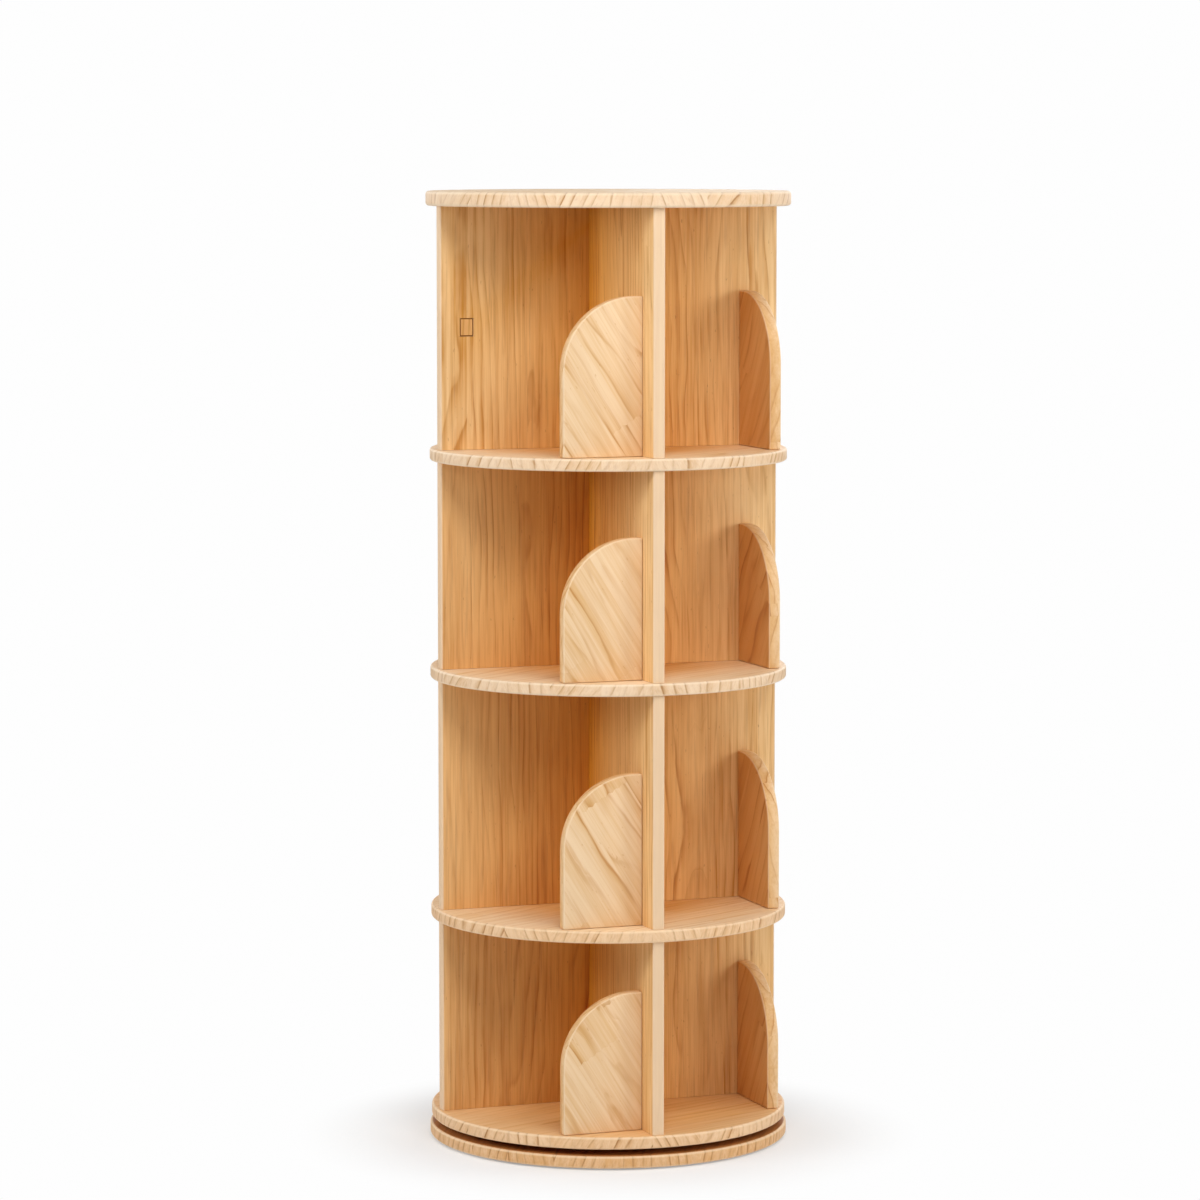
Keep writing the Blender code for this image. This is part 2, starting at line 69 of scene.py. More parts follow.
def turned(name, profile, sides, centre=(0, 0), ring=False):
    """A piece turned from (radius, level) points that run up its outside.

    A ring's outline closes on itself; any other piece is closed with a flat face at each end.
    """
    shape = bmesh.new()
    loops = []
    for radius, level in profile:
        loop = []
        for side in range(sides):
            angle = 2 * math.pi * side / sides
            loop.append(shape.verts.new((centre[0] + radius * math.cos(angle),
                                         centre[1] + radius * math.sin(angle), level)))
        loops.append(loop)
    pairs = list(zip(loops, loops[1:]))
    if ring:
        pairs.append((loops[-1], loops[0]))
    else:
        shape.faces.new(reversed(loops[0]))
        shape.faces.new(loops[-1])
    for lower, upper in pairs:
        for side in range(sides):
            beside = (side + 1) % sides
            shape.faces.new((lower[side], lower[beside], upper[beside], upper[side]))
    return shaped(name, shape)


def rounded_rim(radius, low, high, rounding, steps):
    """(radius, level) points up a disc's rim, with both of its edges rounded over."""
    points = []
    for level, start in ((low + rounding, -0.5 * math.pi), (high - rounding, 0.0)):
        for step in range(steps + 1):
            angle = start + 0.5 * math.pi * step / steps
            reach = radius - rounding + rounding * math.cos(angle)
            points.append((reach, level + rounding * math.sin(angle)))
    return points


def added(tree, kind, *inputs, **settings):
    """A node, with its inputs in order set to a value or taken from another node's output."""
    node = tree.nodes.new(kind)
    for name, value in settings.items():
        setattr(node, name, value)
    for socket, value in zip(node.inputs, inputs):
        if isinstance(value, bpy.types.NodeSocket):
            tree.links.new(value, socket)
        elif value is not None:
            socket.default_value = value
    return node


def worked(tree, operation, *values):
    """The output of a Math node."""
    return added(tree, "ShaderNodeMath", *values, operation=operation).outputs[0]


def finish_of(name, roughness, metallic=0.0):
    """A new material with its shader."""
    material = bpy.data.materials.new(name)
    material.use_nodes = True
    shader = material.node_tree.nodes["Principled BSDF"]
    shader.inputs["Roughness"].default_value = roughness
    shader.inputs["Metallic"].default_value = metallic
    return material, material.node_tree, shader


PAD_COUNT = 6
PAD_ROUND = 0.0005
PAD_ROUND_STEPS = 3
PAD_SIDES = 48

rubber, tree, shader = finish_of("sheet rubber", 0.85)
place = added(tree, "ShaderNodeTexCoord").outputs["Object"]
dust = added(tree, "ShaderNodeTexNoise", place)
dust.inputs["Scale"].default_value = 260
dust.inputs["Detail"].default_value = 5
shade = added(tree, "ShaderNodeValToRGB", dust.outputs[0])
shade.color_ramp.elements[0].color = (0.012, 0.012, 0.013, 1)
shade.color_ramp.elements[1].color = (0.06, 0.058, 0.055, 1)
tree.links.new(shade.outputs[0], shader.inputs["Base Color"])
pimple = added(tree, "ShaderNodeBump", 0.3, 0.0003)
tree.links.new(dust.outputs[0], pimple.inputs["Height"])
tree.links.new(pimple.outputs[0], shader.inputs["Normal"])

for number in range(1, PAD_COUNT + 1):
    node = "foot_pad_%d" % number
    low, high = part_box(node)
    middle = (low + high) / 2
    profile = rounded_rim((high.x - low.x) / 2, low.z, high.z, PAD_ROUND, PAD_ROUND_STEPS)
    pad = turned("rubber_pad_%d" % number, profile, PAD_SIDES, (middle.x, middle.y))
    pad.data.materials.append(rubber)
    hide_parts(node)
    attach(pad, "base")


# Base disc
# The base is a round board of edge-glued pine, 15 mm thick, cut out and rounded over at
# the rim, then lacquered. A hole through it gives a screwdriver a way to the turntable.

DISC_SIDES = 288
ROUNDING_STEPS = 6
BASE_ROUND = 0.003
BASE_GRAIN = math.radians(60)
ACCESS_HOLE = 0.006
ACCESS_HOLE_PLACE = 0.082
ACCESS_HOLE_SIDES = 32
CUT_PAST = 0.002

# Each board has its own place in one wide sheet of timber, so that no two show the same grain.
# Round a rim the ends of the staves show, each with rings that lean so far for their height.
BOARDS_APART = 0.7
RIM_STAVE = 0.062
RIM_STAVES_APART = 40
RIMS_APART = 0.3
RIM_LEANS = (0.5, 0.15, -0.5, 0.35, -0.15, 0.55, 0.25, -0.35)
RIM_DEPTH = 0.35
LEVEL_FACE = 0.999


def pine_pattern():
    """Edge-glued pine, as a node group: staves side by side, each cut from its own log.

    Grain gives a point's place in the timber, in metres: across the staves, along them, and
    down into them. Rings are cylinders round a heart that lies to one side of each stave.
    """
    tree = bpy.data.node_groups.new("edge-glued pine", "ShaderNodeTree")
    sockets = (("Grain", "Vector", None), ("Stave Width", "Float", 0.05),
               ("Stave Length", "Float", 1.0), ("Ring Spacing", "Float", 0.01),
               ("Heart Side", "Float", 0.07), ("Heart Depth", "Float", 0.035),
               ("Waver", "Float", 0.01), ("Pale", "Color", None), ("Warm", "Color", None),
               ("Line", "Color", None), ("Line Strength", "Float", 0.6),
               ("Unevenness", "Float", 1.5), ("Streak", "Float", 1.0),
               ("Dashes", "Float", 0.2), ("Tone", "Float", 0.5))
    for name, kind, value in sockets:
        socket = tree.interface.new_socket(name, in_out="INPUT", socket_type="NodeSocket" + kind)
        if value is not None:
            socket.default_value = value
    for name, kind in (("Color", "Color"), ("Roughness", "Float"), ("Height", "Float")):
        tree.interface.new_socket(name, in_out="OUTPUT", socket_type="NodeSocket" + kind)
    given = tree.nodes.new("NodeGroupInput").outputs
    out = tree.nodes.new("NodeGroupOutput")

    across, along, deep = added(tree, "ShaderNodeSeparateXYZ", given["Grain"]).outputs

    def stretched(x, y, z, detail=2.0, rough=0.5):
        """Noise from 0 to 1, with x features a metre across, y along and z deep."""
        scaled = added(tree, "ShaderNodeVectorMath", given["Grain"], (x, y, z), operation="MULTIPLY")
        cloud = added(tree, "ShaderNodeTexNoise", scaled.outputs[0])
        cloud.inputs["Scale"].default_value = 1.0
        cloud.inputs["Detail"].default_value = detail
        cloud.inputs["Roughness"].default_value = rough
        return cloud.outputs[0]

    def swing(value):
        """A chance or a noise from 0 to 1, as one from -0.5 to 0.5."""
        return worked(tree, "SUBTRACT", value, 0.5)

    def ranged(value, start, end, first=0.0, last=1.0):
        """How far a value has come from start to end, as a share from first to last."""
        return added(tree, "ShaderNodeMapRange", value, start, end, first, last).outputs[0]

    # Which stave, end to end in finger joints, and the chances that are its own
    row = worked(tree, "FLOOR", worked(tree, "DIVIDE", across, given["Stave Width"]))
    middle = worked(tree, "MULTIPLY", worked(tree, "ADD", row, 0.5), given["Stave Width"])
    aside = worked(tree, "SUBTRACT", across, middle)
    first = added(tree, "ShaderNodeTexWhiteNoise", None, row, noise_dimensions="1D").outputs["Value"]
    fingers = worked(tree, "MULTIPLY_ADD", worked(tree, "PINGPONG", across, 0.005), 0.5, along)
    lengths = worked(tree, "ADD", worked(tree, "DIVIDE", fingers, given["Stave Length"]), first)
    piece = worked(tree, "FLOOR", lengths)
    stave = added(tree, "ShaderNodeCombineXYZ", row, piece, 0.5).outputs[0]
    chances = added(tree, "ShaderNodeTexWhiteNoise", stave, noise_dimensions="3D").outputs
    one, two, three = added(tree, "ShaderNodeSeparateColor", chances["Color"]).outputs

    # The heart of its log: to one side, above or below, and not quite along the stave
    side = worked(tree, "SIGN", swing(three))
    flip = worked(tree, "SIGN", worked(tree, "SUBTRACT", one, 0.15))
    reach = worked(tree, "MULTIPLY", worked(tree, "MULTIPLY_ADD", two, 0.8, 0.6), given["Heart Side"])
    drop = worked(tree, "MULTIPLY", worked(tree, "MULTIPLY_ADD", one, 0.8, 0.6), given["Heart Depth"])
    drop = worked(tree, "MULTIPLY", worked(tree, "MULTIPLY", drop, side), flip)
    off = worked(tree, "SUBTRACT", aside, worked(tree, "MULTIPLY", reach, side))
    off = worked(tree, "MULTIPLY_ADD", worked(tree, "MULTIPLY", swing(two), 0.06), along, off)
    off = worked(tree, "MULTIPLY_ADD", swing(stretched(5.0, 4.0, 5.0)), given["Waver"], off)
    down = worked(tree, "MULTIPLY_ADD", worked(tree, "MULTIPLY", swing(one), 0.12), along, drop)
    down = worked(tree, "MULTIPLY_ADD", swing(stretched(2.0, 5.0, 2.0, 1.0)),
                  worked(tree, "MULTIPLY", given["Waver"], 2.0), worked(tree, "ADD", deep, down))
    radius = worked(tree, "SQRT", worked(tree, "ADD", worked(tree, "MULTIPLY", off, off),
                                         worked(tree, "MULTIPLY", down, down)))

    # Rings: pale early wood darkens slowly, and ends in a thin line of late wood
    years = worked(tree, "MULTIPLY_ADD", swing(stretched(40, 12, 40, 3.0)), 0.5,
                   worked(tree, "DIVIDE", radius, given["Ring Spacing"]))
    years = worked(tree, "MULTIPLY_ADD", swing(stretched(22, 3.0, 22, 2.0)), given["Unevenness"], years)
    years = worked(tree, "MULTIPLY_ADD", chances["Value"], 7.0, years)
    year = worked(tree, "FLOOR", years)
    season = added(tree, "ShaderNodeValToRGB", worked(tree, "SUBTRACT", years, year))
    ramp = season.color_ramp
    ramp.elements[0].color = (0.3, 0.5, 0, 1)
    ramp.elements[1].position = 0.07
    ramp.elements[1].color = (0, 0.05, 0, 1)
    for position, line, shade in ((0.4, 0.0, 0.0), (0.68, 0.05, 0.35), (0.84, 0.25, 0.8),
                                  (0.92, 1.0, 1.0), (0.97, 0.9, 1.0), (1.0, 0.3, 0.5)):
        ramp.elements.new(position).color = (line, shade, 0, 1)
    late, soft = added(tree, "ShaderNodeSeparateColor", season.outputs[0]).outputs[:2]
    luck = added(tree, "ShaderNodeCombineXYZ", row, piece, year).outputs[0]
    luck = added(tree, "ShaderNodeTexWhiteNoise", luck, noise_dimensions="3D").outputs["Value"]
    share = worked(tree, "MULTIPLY_ADD", luck, 0.9, 0.15)
    fade = ranged(stretched(30, 13, 30), 0.33, 0.66, 0.15, 1.3)
    share = worked(tree, "MULTIPLY", share, fade)
    late = worked(tree, "MULTIPLY", late, share)
    soft = worked(tree, "MULTIPLY", soft, share)

    # Streaks, fibres, resin dashes, short dark flecks, and the glue lines between staves
    streak = swing(stretched(120, 3.0, 120, 5.0, 0.65))
    fibre = stretched(1500, 22, 1500, 3.0, 0.6)
    strand = swing(stretched(480, 10, 480, 2.0))
    dash = ranged(stretched(230, 9, 230, 4.0, 0.62), 0.53, 0.68)
    fleck = ranged(stretched(420, 110, 420, 1.0), 0.735, 0.79)
    edge = worked(tree, "SUBTRACT", worked(tree, "MULTIPLY", given["Stave Width"], 0.5),
                  worked(tree, "ABSOLUTE", aside))
    end = worked(tree, "FRACT", lengths)
    end = worked(tree, "MINIMUM", end, worked(tree, "SUBTRACT", 1.0, end))
    end = worked(tree, "MULTIPLY", end, given["Stave Length"])
    glue = ranged(worked(tree, "MINIMUM", edge, end), 0.0001, 0.0005, 1.0, 0.0)

    # Colour
    tone = worked(tree, "MULTIPLY_ADD", swing(stretched(14, 2.2, 14, 2.0)), 0.8, given["Tone"])
    tone = worked(tree, "MULTIPLY_ADD", swing(three), 0.3, tone)
    tone = worked(tree, "MULTIPLY_ADD", swing(fibre), 0.5, tone)
    tone = worked(tree, "MULTIPLY_ADD", strand, 0.7, tone)
    tone = worked(tree, "MULTIPLY_ADD", streak, given["Streak"], tone)
    tone = worked(tree, "MULTIPLY_ADD", soft, 0.55, tone)
    body = added(tree, "ShaderNodeMix", tone, data_type="RGBA")
    tree.links.new(given["Pale"], body.inputs[6])
    tree.links.new(given["Warm"], body.inputs[7])
    amount = worked(tree, "MULTIPLY", late, given["Line Strength"])
    amount = worked(tree, "MULTIPLY_ADD", dash, given["Dashes"], amount)
    amount = worked(tree, "MULTIPLY_ADD", fleck, 0.4, amount)
    amount = worked(tree, "MULTIPLY_ADD", glue, 0.12, amount)
    lined = added(tree, "ShaderNodeMix", amount, data_type="RGBA")
    tree.links.new(body.outputs[2], lined.inputs[6])
    tree.links.new(given["Line"], lined.inputs[7])
    tree.links.new(lined.outputs[2], out.inputs["Color"])

    rough = worked(tree, "MULTIPLY_ADD", fibre, 0.2, 0.36)
    tree.links.new(worked(tree, "MULTIPLY_ADD", late, -0.08, rough), out.inputs["Roughness"])
    height = worked(tree, "MULTIPLY_ADD", late, -0.1, fibre)
    tree.links.new(worked(tree, "MULTIPLY_ADD", glue, -0.3, height), out.inputs["Height"])
    return tree


edge_glued_pine = pine_pattern()


def pine(name, pale, warm, line, sanded, edge, shade_tint=(1, 1, 1), **values):
    """Lacquered pine: its pattern on the faces, and paler, plainer wood on edges and roundings.

    Shade tint is the colour of painted shade, multiplied into the wood as far as the corner's painted
    shade value says.
    """
    material, tree, shader = finish_of(name, 0.45)
    grain = added(tree, "ShaderNodeAttribute", attribute_name="grain").outputs["Vector"]
    facing = added(tree, "ShaderNodeAttribute", attribute_name="facing").outputs["Fac"]
    wood = added(tree, "ShaderNodeGroup", node_tree=edge_glued_pine)
    tree.links.new(grain, wood.inputs["Grain"])
    for socket, colour in (("Pale", pale), ("Warm", warm), ("Line", line)):
        wood.inputs[socket].default_value = (*colour, 1)
    for socket, value in values.items():
        wood.inputs[socket.replace("_", " ").title()].default_value = value
    # Painted shade: where the painted shade value is 1, the wood's colour is multiplied by the shade
    # tint.
    painted_shade = added(tree, "ShaderNodeAttribute", attribute_name="painted_shade").outputs["Fac"]
    tinted = added(tree, "ShaderNodeMix", painted_shade, data_type="RGBA", blend_type="MULTIPLY")
    tree.links.new(wood.outputs["Color"], tinted.inputs[6])
    tinted.inputs[7].default_value = (*shade_tint, 1)
    # Edges and roundings are mixed towards the edge colour: paler sanded wood, and on the rims also a
    # painted highlight.
    turn = worked(tree, "SQRT", worked(tree, "SUBTRACT", 1.0, worked(tree, "MULTIPLY", facing, facing)))
    eased = worked(tree, "MULTIPLY", worked(tree, "MULTIPLY", facing, turn), 1.2)
    amount = worked(tree, "MULTIPLY_ADD", turn, edge, eased)
    mixed = added(tree, "ShaderNodeMix", worked(tree, "MINIMUM", amount, 0.9), data_type="RGBA")
    tree.links.new(tinted.outputs[2], mixed.inputs[6])
    mixed.inputs[7].default_value = (*sanded, 1)
    tree.links.new(mixed.outputs[2], shader.inputs["Base Color"])
    tree.links.new(wood.outputs["Roughness"], shader.inputs["Roughness"])
    shader.inputs["Specular IOR Level"].default_value = 0.12
    relief = added(tree, "ShaderNodeBump", 0.25, 0.0002)
    tree.links.new(wood.outputs["Height"], relief.inputs["Height"])
    tree.links.new(relief.outputs[0], shader.inputs["Normal"])
    return material


def laid(piece, place_in_timber, thickness, painted_shade_of=lambda point: 0.0):
    """Writes each corner's place in the timber, how squarely it faces along the thickness, and
    how much painted shade is laid on it.
    """
    mesh = piece.data
    places = []
    turns = []
    painted_shades = []
    for face in mesh.polygons:
        for corner in face.loop_indices:
            point = mesh.vertices[mesh.loops[corner].vertex_index].co
            places.extend(place_in_timber(point, face))
            turns.append(min(1.0, abs(mesh.corner_normals[corner].vector.dot(thickness))))
            painted_shades.append(min(1.0, max(0.0, painted_shade_of(point))))
    mesh.attributes.new("grain", "FLOAT_VECTOR", "CORNER").data.foreach_set("vector", places)
    mesh.attributes.new("facing", "FLOAT", "CORNER").data.foreach_set("value", turns)
    mesh.attributes.new("painted_shade", "FLOAT", "CORNER").data.foreach_set("value", painted_shades)


def cut_out(piece, cutter):
    """Takes the cutter's shape out of the piece, and the cutter out of the scene."""
    cut = piece.modifiers.new("Cut", "BOOLEAN")
    cut.object = cutter
    cut.solver = "EXACT"
    bpy.context.view_layer.update()
    graph = bpy.context.evaluated_depsgraph_get()
    left = bpy.data.meshes.new_from_object(piece.evaluated_get(graph))
    piece.modifiers.clear()
    piece.data = left
    left.set_sharp_from_angle(angle=math.radians(SHARP))
    bpy.data.objects.remove(cutter)


def disc_timber(board, turn, low, high, leaning=1.0):
    """Place in a disc's timber: staves across its flat faces, and their ends round its rim, each
    with rings that lean its own way.
    """
    run = Vector((math.cos(turn), math.sin(turn), 0))
    square = Vector((-run.y, run.x, 0))

    def place(point, face):
        if abs(face.normal.z) > LEVEL_FACE:
            return (point.dot(square) + BOARDS_APART * board, point.dot(run), point.z - low.z)
        middle = math.atan2(face.center.y, face.center.x)
        angle = math.atan2(point.y, point.x)
        angle = middle + math.remainder(angle - middle, 2 * math.pi)
        stave = math.floor(middle * high.x / RIM_STAVE) + RIM_STAVES_APART * board
        within = angle * high.x + (RIM_STAVES_APART * board - stave - 0.5) * RIM_STAVE
        level = point.z - low.z
        lean = leaning * RIM_LEANS[stave % len(RIM_LEANS)]
        across = (2 * stave + 1) * RIM_STAVE + within - lean * level
        return (across, RIMS_APART * board, RIM_DEPTH * level)

    return place


DISC_RINGS = {"stave_width": 0.064, "stave_length": 0.5, "ring_spacing": 0.0105,
              "heart_side": 0.075, "heart_depth": 0.05, "streak": 1.2}
RIM_RINGS = {"stave_width": 2 * RIM_STAVE, "stave_length": 0.5, "heart_side": 0.13,
             "waver": 0.0, "unevenness": 1.3}
# On the rims the edge colour lies on the rounded edges: partly paler sanded wood and partly a painted
# highlight.
PALE_RIM = {"pale": (0.86, 0.65, 0.45), "warm": (0.70, 0.43, 0.20),
            "line": (0.41, 0.18, 0.05), "sanded": (0.94, 0.775, 0.575), "edge": 0.0}
# Painted shade: the lower rims and the base rim take these darker, warmer copies of the upper rims'
# colours, so that the rims grow darker towards the bottom.
SHADED_RIM = {"pale": (0.85, 0.59, 0.36), "warm": (0.69, 0.38, 0.15),
            "line": (0.40, 0.16, 0.04), "sanded": (0.93, 0.71, 0.47), "edge": 0.0}

disc_pine = pine("pine, discs", pale=(0.88, 0.66, 0.435), warm=(0.75, 0.46, 0.19),
                 line=(0.46, 0.21, 0.05), sanded=(0.89, 0.67, 0.45), edge=0.0,
                 **DISC_RINGS, line_strength=0.3, dashes=0.12, tone=0.3)
pale_rim_pine = pine("pine, upper rims", **PALE_RIM, **RIM_RINGS, ring_spacing=0.0125,
                     heart_depth=0.085, line_strength=0.9, streak=1.2, tone=0.22)
shaded_rim_pine = pine("pine, lower rims, painted shade", **SHADED_RIM, **RIM_RINGS, ring_spacing=0.0125,
                     heart_depth=0.085, line_strength=1.05, streak=1.2, tone=0.22)
base_rim_pine = pine("pine, base rim", **SHADED_RIM, **RIM_RINGS, ring_spacing=0.0115,
                     heart_depth=0.05, line_strength=1.3, streak=1.4, tone=0.62)
# Painted shade: the faces that look into the slot between the base and the bottom shelf, the base's
# upper face and the bottom shelf's underside, are painted dark brown.
slot_shade_pine = pine("pine, painted shade of the slot", pale=(0.60, 0.25, 0.07), warm=(0.42, 0.15, 0.035),
                 line=(0.2, 0.07, 0.015), sanded=(0.60, 0.25, 0.07), edge=0.0,
                 **DISC_RINGS, line_strength=0.4, tone=0.5)


def rimmed(piece, rim, upper=disc_pine, lower=disc_pine):
    """Gives a disc its timber on both flat faces, and the rim's end grain round its edge."""
    for timber in (rim, upper, lower):
        piece.data.materials.append(timber)
    for face in piece.data.polygons:
        if abs(face.normal.z) > LEVEL_FACE:
            face.material_index = 1 if face.normal.z > 0 else 2


low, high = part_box("base_disc")
profile = rounded_rim(high.x, low.z, high.z, BASE_ROUND, ROUNDING_STEPS)
base = turned("round_base_board", profile, DISC_SIDES)
profile = [(ACCESS_HOLE, low.z - CUT_PAST), (ACCESS_HOLE, high.z + CUT_PAST)]
drill = turned("screwdriver_hole", profile, ACCESS_HOLE_SIDES, (ACCESS_HOLE_PLACE, ACCESS_HOLE_PLACE))
cut_out(base, drill)
# The base's upper face carries the slot's painted shade.
rimmed(base, base_rim_pine, upper=slot_shade_pine)
laid(base, disc_timber(0, BASE_GRAIN, low, high, leaning=0.4), Vector((0, 0, 1)))
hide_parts("base_disc")
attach(base, "base")


# Turntable
# Two race rings are pressed from aluminium strip, one screwed to the base and one to the
# bottom shelf. A thin cage holds a row of steel balls that roll in grooves between them.

RING_SIDES = 144
RING_EDGE = 0.0005
RING_NEAR = 0.001
RING_FAR = 0.021
GROOVE_RADIUS = 0.0024
GROOVE_STEPS = 6
BALL_CIRCLE = 0.127
BALL_RADIUS = 0.002
BALL_COUNT = 16
BALL_SIDES = 24
BAND_HALF_THICK = 0.0004
BAND_HALF_HIGH = 0.0014
SCREWS_TO_A_RING = 4
SCREW_SIDES = 24

satin_aluminium, tree, shader = finish_of("satin aluminium", 0.35, 1.0)
place = added(tree, "ShaderNodeTexCoord").outputs["Object"]
far = added(tree, "ShaderNodeVectorMath", place, operation="LENGTH").outputs["Value"]
turns = worked(tree, "MULTIPLY", far, 4000.0)
strokes = added(tree, "ShaderNodeTexNoise", None, turns, noise_dimensions="1D")
strokes.inputs["Detail"].default_value = 3
tint = added(tree, "ShaderNodeValToRGB", strokes.outputs[0])
tint.color_ramp.elements[0].color = (0.60, 0.60, 0.62, 1)
tint.color_ramp.elements[1].color = (0.80, 0.80, 0.82, 1)
tree.links.new(tint.outputs[0], shader.inputs["Base Color"])
tree.links.new(worked(tree, "MULTIPLY_ADD", strokes.outputs[0], 0.2, 0.25), shader.inputs["Roughness"])

bright_steel, tree, shader = finish_of("bright steel", 0.2, 1.0)
place = added(tree, "ShaderNodeTexCoord").outputs["Object"]
film = added(tree, "ShaderNodeTexNoise", place)
film.inputs["Scale"].default_value = 300
tint = added(tree, "ShaderNodeValToRGB", film.outputs[0])
tint.color_ramp.elements[0].color = (0.50, 0.49, 0.47, 1)
tint.color_ramp.elements[1].color = (0.66, 0.66, 0.67, 1)
tree.links.new(tint.outputs[0], shader.inputs["Base Color"])
tree.links.new(worked(tree, "MULTIPLY_ADD", film.outputs[0], 0.25, 0.1), shader.inputs["Roughness"])


def race_outline(node, outward):
    """A ring's outline, with a round groove in the wall that faces the balls."""
    low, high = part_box(node)
    far_wall = BALL_CIRCLE + outward * RING_FAR
    near_wall = BALL_CIRCLE + outward * RING_NEAR
    level = (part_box("ball_cage")[0].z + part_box("ball_cage")[1].z) / 2
    swing = math.acos(RING_NEAR / GROOVE_RADIUS)
    points = [(near_wall + outward * RING_EDGE, low.z), (near_wall, low.z + RING_EDGE)]
    for step in range(2 * GROOVE_STEPS + 1):
        angle = swing * (step / GROOVE_STEPS - 1)
        points.append((BALL_CIRCLE + outward * GROOVE_RADIUS * math.cos(angle),
                       level + GROOVE_RADIUS * math.sin(angle)))
    points += [(near_wall, high.z - RING_EDGE), (near_wall + outward * RING_EDGE, high.z)]
    points += [(far_wall - outward * RING_EDGE, high.z), (far_wall, high.z - RING_EDGE)]
    points += [(far_wall, low.z + RING_EDGE), (far_wall - outward * RING_EDGE, low.z)]
    return points


for kind, body, outward in (("fixed", "base", 1), ("turning", "tower", -1)):
    node = kind + "_race_ring"
    ring = turned(kind + "_race", race_outline(node, outward), RING_SIDES, ring=True)
    ring.data.materials.append(satin_aluminium)
    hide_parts(node)
    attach(ring, body)

low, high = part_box("ball_cage")
level = (low.z + high.z) / 2
band = [(BALL_CIRCLE + BAND_HALF_THICK, level - BAND_HALF_HIGH),
        (BALL_CIRCLE + BAND_HALF_THICK, level + BAND_HALF_HIGH),
        (BALL_CIRCLE - BAND_HALF_THICK, level + BAND_HALF_HIGH),
        (BALL_CIRCLE - BAND_HALF_THICK, level - BAND_HALF_HIGH)]
cage = turned("cage_band", band, RING_SIDES, ring=True)
shape = bmesh.new()
shape.from_mesh(cage.data)
for number in range(BALL_COUNT):
    angle = 2 * math.pi * number / BALL_COUNT
    place = (BALL_CIRCLE * math.cos(angle), BALL_CIRCLE * math.sin(angle), level)
    spot = Matrix.Translation(place)
    bmesh.ops.create_uvsphere(shape, u_segments=BALL_SIDES, v_segments=BALL_SIDES // 2,
                              radius=BALL_RADIUS, matrix=spot)
shape.to_mesh(cage.data)
shape.free()
cage.data.shade_smooth()
cage.data.set_sharp_from_angle(angle=math.radians(SHARP))
cage.data.materials.append(bright_steel)
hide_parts("ball_cage")
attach(cage, "cage")

# A countersunk screw from its tip to its head, as (radius, height over the head's face)
SCREW_PROFILE = ((0.0006, -0.016), (0.00175, -0.013), (0.00175, -0.002), (0.0035, -0.0002),
                 (0.0034, 0.0))
for kind, body, upwards in (("fixed", "base", 1), ("turning", "tower", -1)):
    for number in range(1, SCREWS_TO_A_RING + 1):
        node = "%s_ring_screw_%d" % (kind, number)
        low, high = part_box(node)
        middle = (low + high) / 2
        head = high.z if upwards > 0 else low.z
        profile = [(radius, head + upwards * height) for radius, height in SCREW_PROFILE]
        if upwards < 0:
            profile.reverse()
        screw = turned(node + "_turned", profile, SCREW_SIDES, (middle.x, middle.y))
        screw.data.materials.append(bright_steel)
        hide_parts(node)
        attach(screw, body)


# Shelves
# Four round shelves of edge-glued pine, the lowest screwed to the turntable. Each is cut from
# a board 15 mm thick and rounded over at the rim. Their upper faces are painted paler than the
# other disc faces, painted light, and darker and warmer inwards of the rim, painted shade; the
# lowest shelf's upper face carries most of that painted shade all over.

SHELF_ROUND = 0.003
SHADE_STARTS_AT = 0.185
SHADE_FULL_AT = 0.09
BOTTOM_SHELF_SHADE = 0.75
SHELF_GRAIN = 15
SHELF_GRAIN_STEP = 5
SHELVES = ("bottom_shelf", "lower_shelf", "middle_shelf", "upper_shelf")

# Painted light: a paler copy of the discs' pine for the shelf tops, whose shade tint is painted shade.
lightened_shelf_pine = pine("pine, shelf tops, painted light and shade", pale=(0.93, 0.735, 0.52), warm=(0.80, 0.52, 0.235),
                  line=(0.50, 0.24, 0.065), sanded=(0.93, 0.735, 0.52), edge=0.0,
                  shade_tint=(0.88, 0.66, 0.38), **DISC_RINGS, line_strength=0.3, dashes=0.12, tone=0.3)

for board, node in enumerate(SHELVES, 1):
    low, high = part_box(node)
    profile = rounded_rim(high.x, low.z, high.z, SHELF_ROUND, ROUNDING_STEPS)
    profile += [(SHADE_STARTS_AT, high.z), (SHADE_FULL_AT, high.z)]
    shelf = turned("round_" + node, profile, DISC_SIDES)
    lowest = node == "bottom_shelf"
    # The two lower shelves take the rim colours with painted shade.
    rim = shaded_rim_pine if node in ("bottom_shelf", "lower_shelf") else pale_rim_pine
    # The lowest shelf's underside carries the slot's painted shade.
    rimmed(shelf, rim, upper=lightened_shelf_pine, lower=slot_shade_pine if lowest else disc_pine)
    timber = disc_timber(board, math.radians(SHELF_GRAIN + SHELF_GRAIN_STEP * board), low, high)
    # Painted shade on the upper face: none near the rim, full further in, and on the lowest shelf never
    # less than a set share.
    least = BOTTOM_SHELF_SHADE if lowest else 0.0
    inwards = SHADE_STARTS_AT - SHADE_FULL_AT
    laid(shelf, timber, Vector((0, 0, 1)),
         lambda point: max(least, (SHADE_STARTS_AT - point.xy.length) / inwards))
    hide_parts(node)
    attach(shelf, "tower")


# Dividers
# Four upright boards to a tier make a pinwheel: each butts on the face of the next, round a
# narrow channel. Grain runs up them, and the outer edge of each is rounded over.

DIVIDER_ROUND = 0.0025
SEAT = 0.0003
TONGUE_WIDTH = 0.005
TONGUE_DEPTH = 0.005
TIERS = (("bottom", "bottom_shelf", "lower_shelf"), ("lower", "lower_shelf", "middle_shelf"),
         ("upper", "middle_shelf", "upper_shelf"), ("top", "upper_shelf", "top_disc"))
FIRST_UPRIGHT = 11
QUARTERS = ("front", "right", "back", "left")

